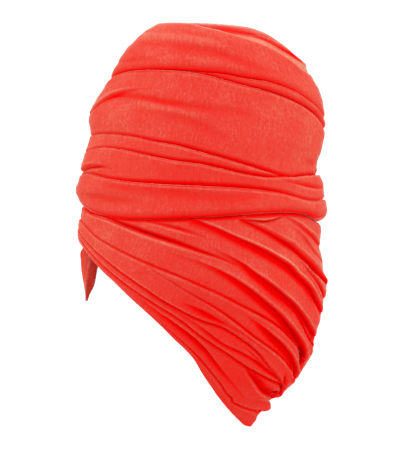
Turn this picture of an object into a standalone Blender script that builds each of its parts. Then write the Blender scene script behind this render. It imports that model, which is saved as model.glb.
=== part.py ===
"""A jersey head wrap: a crown of wound turns, three folds at the brow and a pleated drape that closes at the nape.

The wearer faces -Y and +X is the wearer's left. The origin is the middle of the head at the brow folds.
Sizes are in millimetres here, and mesh_object turns them into metres.
"""

import math
from collections import namedtuple

import bmesh
import bpy
import numpy as np

MM = 0.001

# Driving sizes, in millimetres
CROWN_TOP = 160.5
CAP_SUNK = 6.2  # how far the crown cap lies below the outer face of the turns wound over it
CAP_WALL = 2.0
TURN_GAP = 1.2  # the clearance between a turn and the cap under it
EDGE_GAP = 0.35  # half the clearance between two turns that lie edge to edge
DRAPE_WALL = 2.6
DRAPE_TUCKED = 6.6  # how deep the drape runs in under the lowest brow fold
BELOW_BROW = 0.9  # the drape's guide lines that start in under the brow folds are held this far below them,
BELOW_BROW_STEP = 0.35  # and each further one by this much more
HEM_BAND_FROM = 5  # the guide line where the drape ends and the hem band comes out from under it
HEM_BAND_UP = 4.0  # how far up the hem band runs in under the drape
HEM_BAND_TUCKED = 5.8
CAP_DIVE = 9.0  # the height over which the cap goes under the upper turn
TURN_RIM_PROUD = 1.4  # how far the upper turn's rim stands out from the cap
CRESCENT_TIP = 2.4  # a crescent-shaped turn ends where it is this narrow
CAP_EDGE_UP = 8.0  # the cap ends this far above the lower edge of the brow folds
DRAPE_TOP_UP = 5.0  # and the drape starts this far above it

# Mesh steps
RING_COLUMNS = 18  # for each side of the head
DRAPE_COLUMNS = 19
SPLINE_STEPS = 60
DRAPE_ROWS = (1, 1, 3, 4, 4, 3, 3, 3)  # between one guide line of the drape and the next
HEM_BAND_ROWS = (1, 1, 3, 3, 2)

# The outer form, a row for each level: the front, the back and half the width
Level = namedtuple("Level", "up front back half_width")
LEVELS = [
    Level(*row)
    for row in (
        (160.5, -15.0, -15.0, 0.0),
        (159.9, -32.0, 10.0, 20.0),
        (157.5, -38.5, 36.0, 34.0),
        (152.0, -49.5, 57.0, 47.0),
        (144.0, -58.5, 69.5, 57.0),
        (134.0, -67.5, 82.0, 64.5),
        (122.0, -74.5, 92.0, 70.0),
        (112.0, -78.5, 97.5, 73.5),
        (100.0, -87.0, 104.0, 77.0),
        (88.0, -94.5, 108.0, 79.5),
        (75.0, -98.5, 108.5, 81.5),
        (62.0, -98.0, 109.0, 82.5),
        (48.0, -101.0, 107.0, 83.5),
        (30.0, -105.0, 103.5, 85.0),
        (12.0, -108.5, 108.5, 86.0),
        (-4.0, -105.0, 109.0, 86.0),
        (-18.0, -106.5, 107.0, 85.0),
        (-34.0, -106.5, 106.5, 84.0),
        (-50.0, -105.0, 108.0, 82.0),
        (-66.0, -102.0, 110.0, 79.5),
        (-82.0, -96.0, 109.0, 76.0),
        (-98.0, -88.0, 106.5, 71.5),
        (-114.0, -77.0, 101.5, 66.0),
        (-130.0, -63.0, 98.5, 59.0),
        (-144.0, -47.0, 90.5, 51.0),
        (-156.0, -29.0, 83.5, 42.0),
        (-166.0, -10.0, 73.5, 33.0),
        (-174.0, 5.0, 64.5, 25.0),
        (-182.0, 17.0, 59.5, 17.5),
        (-190.0, 28.0, 49.0, 10.0),
        (-195.0, 38.0, 44.0, 4.0),
    )
]

# The lines where turns meet, as (back, up) points seen from the wearer's left, from front to back
TURN_LINES = {
    "crown_rim": ((-34, 159.2), (-17, 158.4), (0, 155.5), (20, 150.5), (45, 144), (65, 135), (82, 124), (97, 112)),
    "upper_lower": ((-80, 110), (-70, 116), (-45, 118), (0, 115.5), (40, 110), (70, 105), (90, 97), (108, 77)),
    "fold_lower": ((-80, 122), (-20, 118), (10, 111), (40, 102.5), (70, 95.5), (90, 86), (109, 68)),
    "main_lower": ((-98, 61), (-75, 61.5), (-40, 56), (0, 46), (40, 34), (75, 24), (103, 26)),
    "brow_first": ((-101, 47), (-80, 50), (-50, 43.5), (0, 35), (40, 26), (60, 24), (75, 25), (103, 34)),
    "brow_second": ((-105, 27), (-90, 25.5), (-60, 20), (0, 16), (50, 13), (80, 8), (106, 4)),
    "brow_lower": ((-104, -2), (-85, -9.5), (-50, -13), (0, -12), (50, -9), (80, -9), (104, -14)),
}

# The lines that guide the drape, from under the brow folds down to the hem
DRAPE_LINES = (
    ("upper_swag", ((-105, 0), (-50, -10), (0, -9), (36, -9.5), (60, -23.5), (85, -40), (107.5, -60))),
    ("second_swag", ((-105, -1), (-50, -11.5), (-8, -11.5), (30, -30), (60, -47), (85, -70), (106, -94))),
    ("deep_swag", ((-105.5, -3), (-60, -21.5), (0, -43), (40, -58), (70, -81), (90, -103), (100, -113))),
    ("broad_swag", ((-106.5, -8), (-85, -33), (-50, -50), (0, -70.5), (50, -96), (80, -116.5), (94, -134))),
    ("rim_swag", ((-107, -11), (-85, -35), (-45, -53), (0, -82.5), (40, -109), (70, -133), (82, -156))),
    ("gather_swag", ((-107, -19), (-85, -45.5), (-50, -71), (0, -99), (40, -124), (71, -158), (64, -170))),
    ("lobe_swag", ((-107, -24), (-80, -56), (-40, -84), (0, -113), (38, -139), (53, -160), (60, -171.5))),
    ("hem_swag", ((-107, -28), (-80, -61), (-40, -97), (0, -135), (20, -160), (42, -180), (55, -180))),
    ("hem", ((-106.5, -34), (-80, -64.5), (-40, -101.5), (-10, -130.5), (14, -167), (34, -188.5), (44, -194.5))),
)

# Tucks: the cloth on one side of a line rolls over the cloth on the other
Tuck = namedtuple("Tuck", "line over height roll spread depth run")
TUCKS = [
    Tuck(*row)
    for row in (
        ("upper_lower", "above", 1.6, 5.0, 9.0, 3.0, 3.5),
        ("fold_lower", "above", 1.4, 3.5, 6.0, 3.2, 5.0),
        ("main_lower", "below", 1.2, 3.5, 7.0, 3.2, 6.0),
        ("brow_first", "below", 1.4, 4.0, 7.0, 3.2, 4.0),
        ("brow_second", "below", 2.4, 6.0, 8.0, 3.2, 5.0),
        ("brow_lower", "above", 2.6, 6.0, 8.0, 4.6, 7.0),
        ("upper_swag", "above", 2.0, 4.0, 7.0, 2.2, 5.0),
        ("second_swag", "above", 2.6, 4.0, 9.0, 2.6, 6.0),
        ("deep_swag", "above", 2.2, 6.0, 8.0, 3.0, 7.0),
        ("broad_swag", "below", 1.2, 4.0, 6.0, 2.2, 4.0),
        ("rim_swag", "below", 2.2, 2.5, 5.0, 2.0, 7.0),
        ("gather_swag", "above", 1.2, 3.5, 6.0, 2.6, 4.0),
        ("lobe_swag", "below", 1.4, 4.0, 8.0, 2.4, 4.0),
        ("hem_swag", "above", 1.4, 4.0, 7.0, 2.0, 3.0),
    )
]

# Soft folds: low ridges (height above 0) and hollows (below 0) along a line
SoftFold = namedtuple("SoftFold", "height spread_above spread_below path")
SOFT_FOLDS = [
    SoftFold(*row)
    for row in (
        (1.6, 6.0, 4.0, ((-93, 88), (-80, 96.5), (-60, 101.5), (-43, 103.5))),
        (-1.8, 5.0, 8.0, ((-84, 92), (-65, 96), (-40, 91), (-10, 87), (30, 80))),
        (-1.4, 7.0, 7.0, ((-45, 80), (-20, 76), (0, 69), (30, 57))),
        (1.4, 7.0, 8.0, ((-60, 143.5), (-30, 142.5), (0, 139.5), (30, 134))),
        (-1.2, 6.0, 7.0, ((-30, 138), (0, 133), (45, 125), (75, 112))),
        (2.0, 6.0, 5.0, ((-107, 11), (-95, 12), (-75, 12), (-50, 10))),
        (1.6, 6.0, 7.0, ((-20, -45), (20, -54), (50, -74), (80, -97), (95, -126))),
        (-3.4, 6.0, 6.0, ((-70, -66), (-30, -97.5), (0, -120), (14, -138), (33, -158))),
        (1.8, 5.0, 6.0, ((35, -92), (60, -107), (78, -123), (87, -140))),
        (2.2, 5.0, 5.0, ((90, -48), (101, -58), (107, -70))),
    )
]

# The loose end below the brow on the wearer's right: its two edges and the crease between them,
# each as how far back it lies, and how far to the wearer's right the three of them are
EndRow = namedtuple("EndRow", "up front_edge crease back_edge front_out crease_out back_out")
LOOSE_END = [
    EndRow(*row)
    for row in (
        (-32.0, -101.6, -97.0, -91.0, 9.0, 4.0, 14.0),
        (-36.0, -102.9, -97.5, -90.5, 9.0, 3.5, 15.0),
        (-42.0, -106.0, -98.0, -90.0, 9.0, 3.0, 16.0),
        (-49.0, -105.6, -97.5, -89.8, 9.0, 2.5, 15.0),
        (-57.0, -105.2, -99.0, -91.8, 9.0, 2.5, 14.0),
        (-65.0, -103.8, -100.6, -92.8, 9.0, 3.0, 13.0),
        (-72.0, -102.4, -101.0, -94.6, 9.0, 4.0, 12.0),
        (-78.5, -101.8, -101.0, -98.0, 9.0, 5.5, 11.0),
        (-84.5, -101.6, -100.9, -100.0, 9.5, 7.5, 10.5),
    )
]
LOOSE_END_WALL = 1.8

# The wearer's right side isn't a mirror copy: its folds ride up and down by this much
FAR_SHIFT = 3.5
FAR_SHIFT_LENGTH = 130.0
FAR_SHIFT_FADE = 45.0

CORAL = (0.87, 0.09, 0.055, 1.0)
CORAL_SHADE = (0.80, 0.07, 0.045, 1.0)


def hermite(x, xs, ys):
    """A smooth curve through the points (xs, ys), read at x. xs rises."""
    xs = np.asarray(xs, float)
    ys = np.asarray(ys, float)
    slopes = np.gradient(ys, xs)
    i = np.clip(np.searchsorted(xs, x) - 1, 0, len(xs) - 2)
    step = xs[i + 1] - xs[i]
    t = np.clip((x - xs[i]) / step, 0.0, 1.0)
    h00 = (1 + 2 * t) * (1 - t) ** 2
    h10 = t * (1 - t) ** 2
    h01 = t * t * (3 - 2 * t)
    h11 = t * t * (t - 1)
    return h00 * ys[i] + h10 * step * slopes[i] + h01 * ys[i + 1] + h11 * step * slopes[i + 1]


def smoothstep(t):
    t = np.clip(t, 0.0, 1.0)
    return t * t * (3 - 2 * t)


def sink(up):
    """The measure of height used on the form: the root of the drop below the crown, which keeps the dome round."""
    return np.sqrt(np.maximum(CROWN_TOP - np.asarray(up, float), 0.0))


LEVEL_SINKS = sink([level.up for level in LEVELS])


def form_at(s):
    """The centre, half length and half width of the form at sink s."""
    front = hermite(s, LEVEL_SINKS, [level.front for level in LEVELS])
    back = hermite(s, LEVEL_SINKS, [level.back for level in LEVELS])
    width = hermite(s, LEVEL_SINKS, [level.half_width for level in LEVELS])
    return (front + back) / 2, (back - front) / 2, np.maximum(width, 0.0)


def form_point(turn, s):
    """A point of the outer form: turn is 0 at the front and pi at the back, on the wearer's left."""
    centre, half_length, half_width = form_at(s)
    return np.stack(
        [half_width * np.sin(turn), centre - half_length * np.cos(turn), CROWN_TOP - s * s], axis=-1
    )


def form_normal(turn, s):
    small = 1e-3
    s = np.maximum(s, 0.05)
    along = form_point(turn + small, s) - form_point(turn - small, s)
    down = form_point(turn, s + small) - form_point(turn, s - small)
    normal = np.cross(down, along)
    return normal / np.linalg.norm(normal, axis=-1, keepdims=True)


def on_form(path):
    """(turn, sink) of side-view points (back, up)."""
    back, up = np.asarray(path, float).T
    s = sink(up)
    centre, half_length, _ = form_at(s)
    return np.arccos(np.clip((centre - back) / np.maximum(half_length, 1e-6), -1.0, 1.0)), s


def spline(path, steps=SPLINE_STEPS):
    """A smooth line on the form through side-view points, level where it crosses the front or the back."""
    turn, s = on_form(path)
    ends = []
    for i, j in ((0, 1), (-1, -2)):
        middle = round(turn[i] / math.pi) * math.pi
        at_middle = abs(turn[i] - middle) < 0.12
        if at_middle:
            turn[i] = middle
        mirrored = (2 * middle - turn[j], s[j])
        straight = (2 * turn[i] - turn[j], 2 * s[i] - s[j])
        ends.append(mirrored if at_middle else straight)
    turns = np.concatenate([[ends[0][0]], turn, [ends[1][0]]])
    sinks = np.concatenate([[ends[0][1]], s, [ends[1][1]]])
    points = form_point(turns, sinks)
    lengths = np.maximum(np.linalg.norm(np.diff(points, axis=0), axis=1), 1.0)
    at = np.concatenate([[0.0], np.cumsum(lengths)])
    t = np.linspace(at[1], at[-2], steps)
    return hermite(t, at, turns), hermite(t, at, sinks)


def turn_line(name, turns):
    """The sink of one of the lines between turns, at each turn angle."""
    line_turns, line_sinks = spline(TURN_LINES[name])
    order = np.argsort(line_turns)
    return np.interp(turns, line_turns[order], line_sinks[order])


def distance_to(points, normals, line):
    """How far each point is from a line of 3-D points, above 0 on the lower side, and how far along it, 0 to 1."""
    starts = line[:-1]
    runs = line[1:] - line[:-1]
    lengths = np.maximum((runs**2).sum(axis=1), 1e-9)
    away = points[:, None, :] - starts[None, :, :]
    share = np.clip((away * runs).sum(axis=2) / lengths, 0.0, 1.0)
    gaps = away - share[..., None] * runs
    squares = (gaps**2).sum(axis=2)
    nearest = squares.argmin(axis=1)
    rows = np.arange(len(points))
    side = np.cross(runs[nearest], gaps[rows, nearest])
    sign = np.where((side * normals).sum(axis=1) > 0, -1.0, 1.0)
    along = (nearest + share[rows, nearest]) / len(starts)
    return np.sqrt(squares[rows, nearest]) * sign, along


def rolled(t):
    """A quarter circle: 0 at the tuck, 1 at the top of the roll."""
    t = np.clip(t, 0.0, 1.0)
    return np.sqrt(1 - (1 - t) ** 2)


def tuck_relief(tuck, distance):
    """(ridge, groove) of a tuck at a signed distance from its line."""
    over = distance if tuck.over == "below" else -distance
    roll = rolled(over / tuck.roll)
    past = np.maximum(over - tuck.roll, 0.0)
    ridge = np.where(over > 0, tuck.height * roll * np.exp(-((past / tuck.spread) ** 2)), 0.0)
    groove = np.where(
        over > 0,
        tuck.depth * (1 - roll),
        tuck.depth * np.clip(1 + over / tuck.run, 0.0, 1.0) ** 2,
    )
    return ridge, groove


def lines_of_form():
    """Every tuck's line as 3-D points."""
    paths = {**TURN_LINES, **dict(DRAPE_LINES)}
    return {name: form_point(*spline(path)) for name, path in paths.items()}


def relief(turn, s, tuck_names):
    """How far the cloth stands out from the form, from the named tucks and the soft folds."""
    points = form_point(turn, s).reshape(-1, 3)
    normals = form_normal(turn, s).reshape(-1, 3)
    ridges = np.zeros(len(points))
    soft = np.zeros(len(points))
    grooves = np.zeros(len(points))
    lines = lines_of_form()
    for tuck in TUCKS:
        if tuck.line not in tuck_names:
            continue
        distance, _ = distance_to(points, normals, lines[tuck.line])
        ridge, groove = tuck_relief(tuck, distance)
        ridges = np.maximum(ridges, ridge)
        grooves = np.maximum(grooves, groove)
    for fold in SOFT_FOLDS:
        distance, along = distance_to(points, normals, form_point(*spline(fold.path)))
        spread = np.where(distance > 0, fold.spread_below, fold.spread_above)
        fade = np.sin(math.pi * np.clip(along, 0.02, 0.98)) ** 0.6
        soft += fold.height * fade * np.exp(-((distance / spread) ** 2))
    return (ridges + soft - grooves).reshape(np.shape(turn))


def lifted(turn, s, lift):
    """Points of the form moved out along its normal."""
    return form_point(turn, s) + form_normal(turn, s) * np.asarray(lift)[..., None]


def far_side(points):
    """Moves points on the wearer's right up or down a little, so that the two sides differ."""
    points = np.array(points, float)
    share = smoothstep(-points[..., 0] / FAR_SHIFT_FADE)
    wave = np.sin(2 * math.pi * (points[..., 1] + 0.6 * points[..., 2]) / FAR_SHIFT_LENGTH)
    below_crown = smoothstep((CROWN_TOP - 20 - points[..., 2]) / 40)
    points[..., 2] += FAR_SHIFT * share * wave * below_crown
    return points


def both_sides(grid, span):
    """Joins a grid of the wearer's left side to its mirror image. span is ring, back or front."""
    mirrored = grid * np.array([-1.0, 1.0, 1.0])
    if span == "ring":
        return np.concatenate([grid, mirrored[:, -2:0:-1]], axis=1)
    if span == "back":
        return np.concatenate([grid, mirrored[:, -2::-1]], axis=1)
    return np.concatenate([grid[:, ::-1], mirrored[:, 1:]], axis=1)


def mesh_object(name, points, faces, colour):
    mesh = bpy.data.meshes.new(name)
    mesh.from_pydata([tuple(p) for p in points * MM], [], faces)
    work = bmesh.new()
    work.from_mesh(mesh)
    bmesh.ops.remove_doubles(work, verts=work.verts, dist=0.00002)
    bmesh.ops.dissolve_degenerate(work, edges=work.edges, dist=0.00002)
    bmesh.ops.recalc_face_normals(work, faces=work.faces)
    bmesh.ops.triangulate(work, faces=work.faces)
    work.to_mesh(mesh)
    work.free()
    mesh.shade_smooth()
    mesh.set_sharp_from_angle(angle=math.radians(60))
    cloth = bpy.data.materials.new(name + "_jersey")
    cloth.use_nodes = True
    shader = cloth.node_tree.nodes["Principled BSDF"]
    shader.inputs["Base Color"].default_value = colour
    shader.inputs["Roughness"].default_value = 0.9
    shader.inputs["Metallic"].default_value = 0.0
    mesh.materials.append(cloth)
    made = bpy.data.objects.new(name, mesh)
    bpy.context.scene.collection.objects.link(made)
    return made


def shell_object(name, outer, inner, closed, colour=CORAL, pole=None):
    """A wall between two grids of points. A closed wall runs right round, and a pole closes it at its first row."""
    rows, columns = outer.shape[:2]
    points = np.concatenate([outer.reshape(-1, 3), inner.reshape(-1, 3)])
    second = rows * columns
    faces = []

    def at(skin, row, column):
        return skin * second + row * columns + column % columns

    for column in range(columns if closed else columns - 1):
        for row in range(rows - 1):
            for skin in (0, 1):
                corners = ((row, column), (row + 1, column), (row + 1, column + 1), (row, column + 1))
                faces.append([at(skin, *corner) for corner in corners])
        edges = (rows - 1,) if pole is not None else (0, rows - 1)
        for row in edges:
            faces.append([at(0, row, column), at(1, row, column), at(1, row, column + 1), at(0, row, column + 1)])
    if not closed:
        for column in (0, columns - 1):
            for row in range(rows - 1):
                faces.append([at(0, row, column), at(1, row, column), at(1, row + 1, column), at(0, row + 1, column)])
    if pole is not None:
        points = np.concatenate([points, pole])
        for skin in (0, 1):
            for column in range(columns):
                faces.append([2 * second + skin, at(skin, 0, column), at(skin, 0, column + 1)])
    return mesh_object(name, far_side(points), faces, colour)


def cap_lift(turn, s):
    """The outer face of the crown cap: level with the form inside the upper turn's rim, and sunk under the turns."""
    below_rim = turn_up("crown_rim", turn) + 1.0 - (CROWN_TOP - s * s)
    return -CAP_SUNK * smoothstep(below_rim / CAP_DIVE)


def turn_up(name, turn):
    """The height of a line between turns, at each turn angle."""
    return CROWN_TOP - turn_line(name, turn) ** 2


def crown_cap():
    turns = np.linspace(0.0, math.pi, RING_COLUMNS + 1)
    rim = turn_up("crown_rim", turns)
    upper_low = turn_up("upper_lower", turns)
    main_top = np.minimum(upper_low, turn_up("fold_lower", turns))
    main_low = turn_up("main_lower", turns)
    rim_sink = sink(np.minimum(rim + 1.0, CROWN_TOP - 0.5))
    rows = [rim_sink * share for share in (0.25, 0.6, 1.0)]
    rows += [sink(up) for up in (rim - 2.0, rim - 5.0, rim - 9.0, (rim - 9.0 + upper_low) / 2)]
    rows += [sink(main_top + (main_low - main_top) * share) for share in (0.0, 0.25, 0.48, 0.72, 1.0)]
    rows += [sink(turn_up("brow_second", turns)), sink(turn_up("brow_lower", turns) + CAP_EDGE_UP)]
    s = np.array(rows)
    turn = np.broadcast_to(turns, s.shape)
    lift = cap_lift(turn, s)
    outer = both_sides(lifted(turn, s, lift), "ring")
    inner = both_sides(lifted(turn, s, lift - CAP_WALL), "ring")
    top = form_point(0.0, 0.0)
    pole = np.array([top, top - [0.0, 0.0, CAP_WALL]])
    return shell_object("crown_cap", outer, inner, True, CORAL_SHADE, pole)


def wound_turn(name, top, bottom, tucks, shares, span="ring", start=0.0, end=math.pi, proud=0.0):
    """A turn of cloth wound over the cap, between two lines given as functions of the turn angle."""
    turns = np.linspace(start, end, RING_COLUMNS + 1)
    upper = top(turns) - EDGE_GAP
    lower = bottom(turns) + EDGE_GAP
    up = upper[None, :] + (lower - upper)[None, :] * np.asarray(shares)[:, None]
    s = sink(up)
    turn = np.broadcast_to(turns, s.shape)
    under = cap_lift(turn, s) + TURN_GAP
    rim = proud * np.clip(1 - np.abs(upper[None, :] - up) / 30.0, 0.0, 1.0)
    over = relief(turn, s, tucks) + rim
    over = np.maximum(over, under + 0.8)
    outer = both_sides(lifted(turn, s, over), span)
    inner = both_sides(lifted(turn, s, under), span)
    return shell_object(name, outer, inner, span == "ring")


def line(name):
    return lambda turns: turn_up(name, turns)


def lower_of(first, second):
    return lambda turns: np.minimum(turn_up(first, turns), turn_up(second, turns))


def crossing(first, second, width, start, end):
    """The turn angle between start and end where the gap between two lines is nearest to a width."""
    turns = np.linspace(start, end, 400)
    gap = turn_up(first, turns) - turn_up(second, turns)
    return turns[np.abs(gap - width).argmin()]


def wound_turns():
    wide = (0.0, 0.08, 0.25, 0.48, 0.72, 0.92, 1.0)
    narrow = (0.0, 0.2, 0.5, 0.8, 1.0)
    wound_turn(
        "upper_turn",
        line("crown_rim"),
        line("upper_lower"),
        ("upper_lower",),
        wide,
        proud=TURN_RIM_PROUD,
    )
    tip = crossing("upper_lower", "fold_lower", CRESCENT_TIP, 1.2, 2.4)
    wound_turn(
        "crown_fold",
        line("upper_lower"),
        line("fold_lower"),
        ("upper_lower", "fold_lower"),
        narrow,
        span="back",
        start=tip,
    )
    wound_turn(
        "main_turn",
        lower_of("upper_lower", "fold_lower"),
        line("main_lower"),
        ("upper_lower", "fold_lower", "main_lower"),
        wide,
    )
    tip = crossing("main_lower", "brow_first", CRESCENT_TIP, 1.8, 2.5)
    wound_turn(
        "brow_fold_upper",
        line("main_lower"),
        line("brow_first"),
        ("main_lower", "brow_first"),
        narrow,
        span="front",
        end=tip,
    )
    wound_turn(
        "brow_fold_middle",
        lower_of("main_lower", "brow_first"),
        line("brow_second"),
        ("main_lower", "brow_first", "brow_second"),
        narrow,
    )
    wound_turn(
        "brow_fold_lower",
        line("brow_second"),
        line("brow_lower"),
        ("brow_second", "brow_lower"),
        (0.0, 0.12, 0.35, 0.65, 0.88, 1.0),
    )


def sheet_rows(guides, counts):
    """(turn, sink) rows from one guide line to the next, with this many rows from each."""
    turn_rows = []
    sink_rows = []
    for (first, second), count in zip(zip(guides, guides[1:]), counts):
        for share in np.arange(count) / count:
            turn_rows.append(first[0] + (second[0] - first[0]) * share)
            sink_rows.append(first[1] + (second[1] - first[1]) * share)
    turn_rows.append(guides[-1][0])
    sink_rows.append(guides[-1][1])
    return np.array(turn_rows), np.array(sink_rows)


def hung_sheet(name, guides, counts, tucks, tucked):
    """A pleated sheet whose first two rows run in under the piece above it, at the depth tucked."""
    turn, s = sheet_rows(guides, counts)
    lift = np.maximum(relief(turn, s, tucks), -tucked)
    lift[:2] = -tucked
    inner_lift = np.minimum(0.6 * np.minimum(lift, 0.0) - DRAPE_WALL, lift - 1.4)
    outer = both_sides(lifted(turn, s, lift), "ring")
    inner = both_sides(lifted(turn, s, inner_lift), "ring")
    return shell_object(name, outer, inner, True)


def drape_guide(number):
    """A guide line of the drape, held below the brow folds."""
    turn, s = spline(DRAPE_LINES[number][1], DRAPE_COLUMNS + 1)
    highest = turn_up("brow_lower", turn) - BELOW_BROW - number * BELOW_BROW_STEP
    return turn, np.maximum(s, sink(highest))


def nape_drape():
    turns = np.linspace(0.0, math.pi, DRAPE_COLUMNS + 1)
    guides = [(turns, sink(turn_up("brow_lower", turns) + rise)) for rise in (DRAPE_TOP_UP, 0.0)]
    guides += [drape_guide(number) for number in range(HEM_BAND_FROM + 1)]
    names = ["brow_lower"] + [name for name, _ in DRAPE_LINES[: HEM_BAND_FROM + 1]]
    hung_sheet("nape_drape", guides, DRAPE_ROWS, names, DRAPE_TUCKED)


def hem_band():
    """The narrow folds along the hem, whose upper edge runs in under the drape."""
    turn, s = drape_guide(HEM_BAND_FROM)
    up = CROWN_TOP - s * s
    guides = [(turn, sink(up + HEM_BAND_UP)), (turn, s), (turn, sink(up - BELOW_BROW))]
    guides += [drape_guide(number) for number in range(HEM_BAND_FROM + 1, len(DRAPE_LINES))]
    names = [name for name, _ in DRAPE_LINES[HEM_BAND_FROM:-1]]
    hung_sheet("hem_band", guides, HEM_BAND_ROWS, names, HEM_BAND_TUCKED)


def loose_end():
    """The free corner of the cloth: two narrow panels that meet at a crease and run out in a point."""
    rows = []
    for row in LOOSE_END:
        front = np.array([-row.front_out, row.front_edge, row.up])
        crease = np.array([-row.crease_out, row.crease, row.up])
        back = np.array([-row.back_out, row.back_edge, row.up])
        rows.append([front, (front + crease) / 2, crease, (crease + back) / 2, back])
    outer = np.array(rows)
    inner = outer + np.array([-0.95, 0.3, 0.0]) * LOOSE_END_WALL
    return shell_object("loose_end", outer, inner, False)


def main():
    for old in list(bpy.data.objects):
        bpy.data.objects.remove(old)
    crown_cap()
    wound_turns()
    nape_drape()
    hem_band()
    loose_end()


main()
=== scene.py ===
"""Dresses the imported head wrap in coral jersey, every fold as geometry, and sets the light and the camera.

The wearer faces -Y, and +X is the wearer's left. Sizes are in millimetres until cloth_piece turns them into
metres. The grain, the cut sizes, the camera and the stage are in metres from the start.

A place on the outer form is a turn angle, 0 at the front and pi at the back, and a sink, the root of its drop
below the crown.
"""

import math
from collections import namedtuple

import bpy
import numpy as np
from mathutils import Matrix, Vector


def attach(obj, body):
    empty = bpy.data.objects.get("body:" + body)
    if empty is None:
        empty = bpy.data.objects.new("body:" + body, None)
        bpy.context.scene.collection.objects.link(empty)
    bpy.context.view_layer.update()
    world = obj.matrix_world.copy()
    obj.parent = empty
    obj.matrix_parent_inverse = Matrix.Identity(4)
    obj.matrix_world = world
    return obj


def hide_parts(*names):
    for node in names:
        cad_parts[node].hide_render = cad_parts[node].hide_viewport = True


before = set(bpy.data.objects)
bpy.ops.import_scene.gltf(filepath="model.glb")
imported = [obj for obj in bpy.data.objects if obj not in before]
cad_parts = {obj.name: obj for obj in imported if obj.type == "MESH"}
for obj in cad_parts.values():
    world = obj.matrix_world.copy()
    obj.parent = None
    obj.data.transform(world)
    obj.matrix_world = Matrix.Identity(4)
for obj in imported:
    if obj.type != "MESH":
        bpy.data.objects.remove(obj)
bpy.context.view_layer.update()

MM = 0.001

# The crown cap, which lies level with the form above the rim and dives under the turns below it
CROWN_TOP = 160.5
CAP_SUNK = 6.2
CAP_DIVE = 6.0
CAP_DIVE_UP = 1.5  # how far above the rim the dive starts
CAP_WALL = 2.0
CAP_EDGE_UP = 8.0
CAP_CLOSE_BELOW = 8.0  # the rows are close together down to this far below the rim
CAP_CLOSE_ROWS = 104
CAP_LOW_ROWS = 25
CAP_POLE_DROP = 0.5
CAP_FOLDS = ("cap_first", "cap_middle", "cap_second")
CAP_FOLDS_SINK = 3.0  # folds and wrinkles fade out from these sinks up to the pole
CAP_WRINKLES_SINK = 6.0
CAP_SEED = 11
CAP_INNER_STEP = 5

# The cap's painted light and shade above the rim: a pale strip of painted light with a deep band of painted
# shade over it toward the back, and painted shade at the rim in front
STRIP_PAINTED_LIGHT = 0.45
STRIP_HEIGHT = 9.4
STRIP_FROM = 14.0
STRIP_RUN = 50.0
STRIP_EDGE = 3.0
STRIP_FULL = 4.0  # the height at which the strip has its whole painted light
BAND_PAINTED_SHADE = 0.66
BAND_UP = 4.0
BAND_WIDTH = 4.2
BAND_RUN = 24.0
RIM_SHADE = 0.45
RIM_SHADE_WIDTH = 4.0

# The wound turns
TURN_GAP = 1.2
TURN_WALL = 0.6  # the least thickness in the grooves
EDGE_GAP = 0.05
RIM_PROUD = 1.7
RIM_REACH = 30.0
RIM_ROUND = 1.8
RIM_PAINTED_HIGHLIGHT = 0.6
CRESCENT_TIP = 0.4
NARROW_TURN = 10.0  # a turn under this width has weaker wrinkles
TURN_INNER_STEP = 6

# The drape and the band along its hem
DRAPE_TUCKED = 5.7
DRAPE_TOP_UP = 5.0
DRAPE_WALL = 5.2
DRAPE_LEAST_WALL = 1.2
DRAPE_WRINKLES_FROM = 14.0
DRAPE_SEED = 31
DRAPE_INNER_STEP = 8
BELOW_BROW = 0.3
BELOW_BROW_STEP = 0.35
HEM_BAND_FROM = 5  # the guide line at which the drape ends and the hem band starts
HEM_BAND_UP = 4.0
HEM_BAND_TUCKED = 5.8
HEM_BAND_GAP = 0.15
HEM_BAND_SEED = 32

# How fine the meshes and the lines are. An inner step is how many outer rows an inner one spans.
RING_COLUMNS = 300
FEWEST_ROWS = 6
ROWS_TO_EDGES = 0.35  # how much closer the rows are at the edges of a turn
DRAPE_COLUMNS = 200
DRAPE_STEP = 0.95
SPLINE_STEPS = 70
SOFT_STEPS = 30
TIP_STEPS = 400
POINTS_AT_ONCE = 6000
NEAR_POLE = 0.05  # the least sink at which the form's normal is read
TINY = 1e-6
WELD_DISTANCE = 0.00001  # in metres

# A line that ends this near the middle of the front or the back is drawn to it, in radians
LINE_SNAP = 0.24
GUIDE_SNAP = 1.2

# The relief of a crease
LINE_REACH = 28.0  # how far from its line a fold still counts
ROLL_POWER = 0.72  # 0.5 is a round roll, and more is a softer one
NARROWEST = 0.35  # the share of its width that a crease keeps where its strength is 0
SOFT_END = 0.02
SOFT_FADE = 0.6
BACK_SOFT = 0.2  # how much of a fold's depth is left at the middle of the back, below the brow
BACK_SOFT_ANGLE = 0.36
FRONT_SOFT = 0.35
FRONT_SOFT_ANGLE = 0.3
MIDDLE_SOFT_BELOW = 12.0
MIDDLE_SOFT_RUN = 10.0

# The painted shading of the relief, from -1, painted shade in the deepest groove, to 1, a painted highlight
# on the lightest crest
GROOVE_FULL = 3.6  # a groove this deep has its full painted shade
GROOVE_PAINTED_SHADE = 0.85
GROOVE_POWER = 0.8
SOFT_FOLD_PAINTED_SHADING = 0.16
CRISP_UNDER = 5.0  # a roll whose reach is below this gets a painted highlight on its crest
CRISP_RUN = 3.0
CREST_HEIGHT = 2.0
CREST_WIDTH = 1.1
CREST_PAINTED_HIGHLIGHT = 0.66
CORE_DEPTH = 3.5
CORE_WIDTH = 0.9
CORE_PAINTED_SHADE = 0.2
PIT_PAINTED_SHADE = 0.9
DEEPEST_FOLD = -0.62
INSIDE_TONE = -0.2
BROW_PAINTED_SHADE = 0.16  # how much painted shade darkens the cloth at the brow folds
BROW_UP = 22.0
BROW_SPREAD = 27.0
BROW_LENGTH = 115.0
CROWN_PAINTED_LIGHT = 0.17  # how much paler the painted light makes the cloth toward the crown
CROWN_TONE_FROM = 134.0
CROWN_TONE_RUN = 12.0
LOW_PAINTED_SHADE = 0.3  # how much deeper the painted shade makes the cloth toward the nape
LOW_TONE_FROM = 20.0
LOW_TONE_RUN = 110.0

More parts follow.
